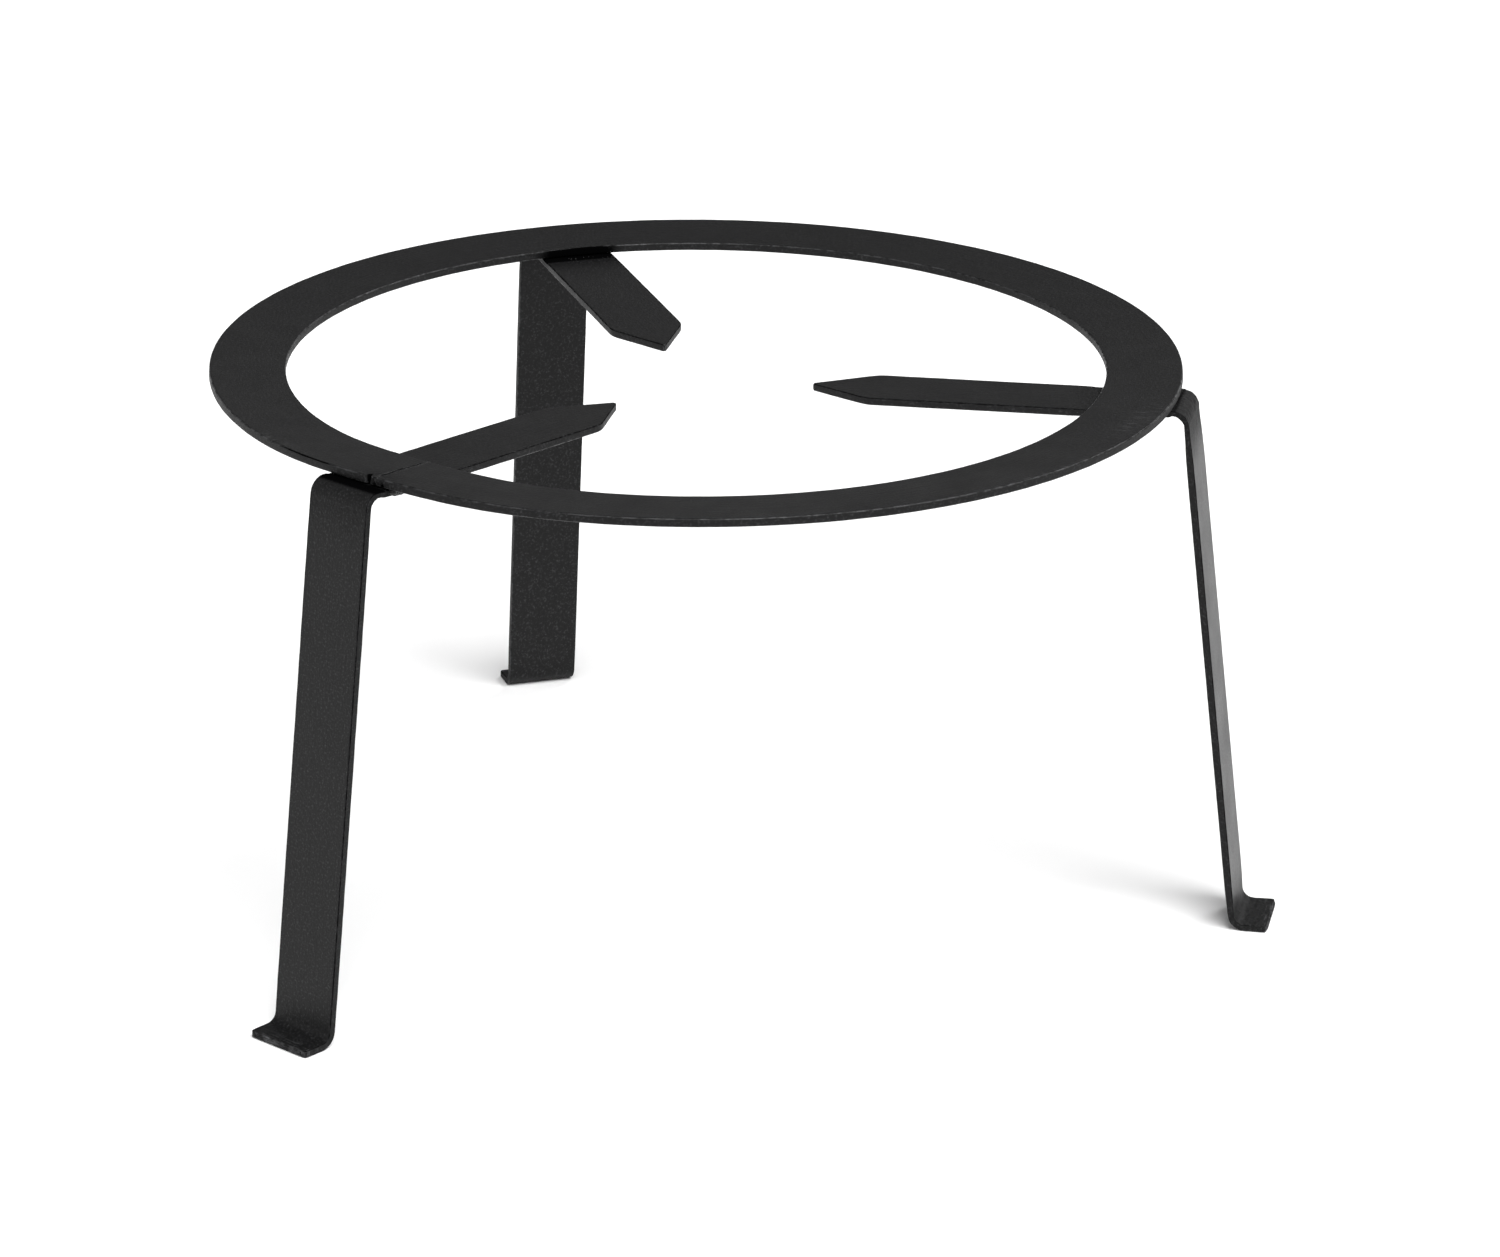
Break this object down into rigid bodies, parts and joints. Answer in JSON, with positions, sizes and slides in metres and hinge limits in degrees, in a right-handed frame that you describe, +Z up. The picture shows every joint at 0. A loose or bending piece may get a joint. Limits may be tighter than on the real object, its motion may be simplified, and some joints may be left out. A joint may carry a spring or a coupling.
{
  "type": "tripod ring stand",
  "caption": "Low steel stand of painted flat bar: a wide flat ring welded on splayed legs, with pointed prongs reaching in under the ring and short turned-out feet.",
  "frame": {"origin": "centre of the bounding box, on the floor the feet stand on", "axes": "+Z up, the ring's axis is vertical; +Y towards the back leg, so the other two legs are at the front left (-X) and front right (+X)"},
  "size_m": [0.3504, 0.355, 0.182],
  "materials": {
    "bar_paint": "satin black paint over flat steel bar",
    "weld_paint": "satin black paint over weld metal"
  },
  "bodies": {
    "root": {"ring": "bar_paint", "ring_seam_weld": "weld_paint", "seam_corner_weld": "weld_paint", "leg_left": "bar_paint", "leg_right": "bar_paint", "leg_back": "bar_paint", "weld_left_a": "weld_paint", "weld_left_b": "weld_paint", "weld_right_a": "weld_paint", "weld_right_b": "weld_paint", "weld_back_a": "weld_paint", "weld_back_b": "weld_paint"}
  },
  "joints": []
}
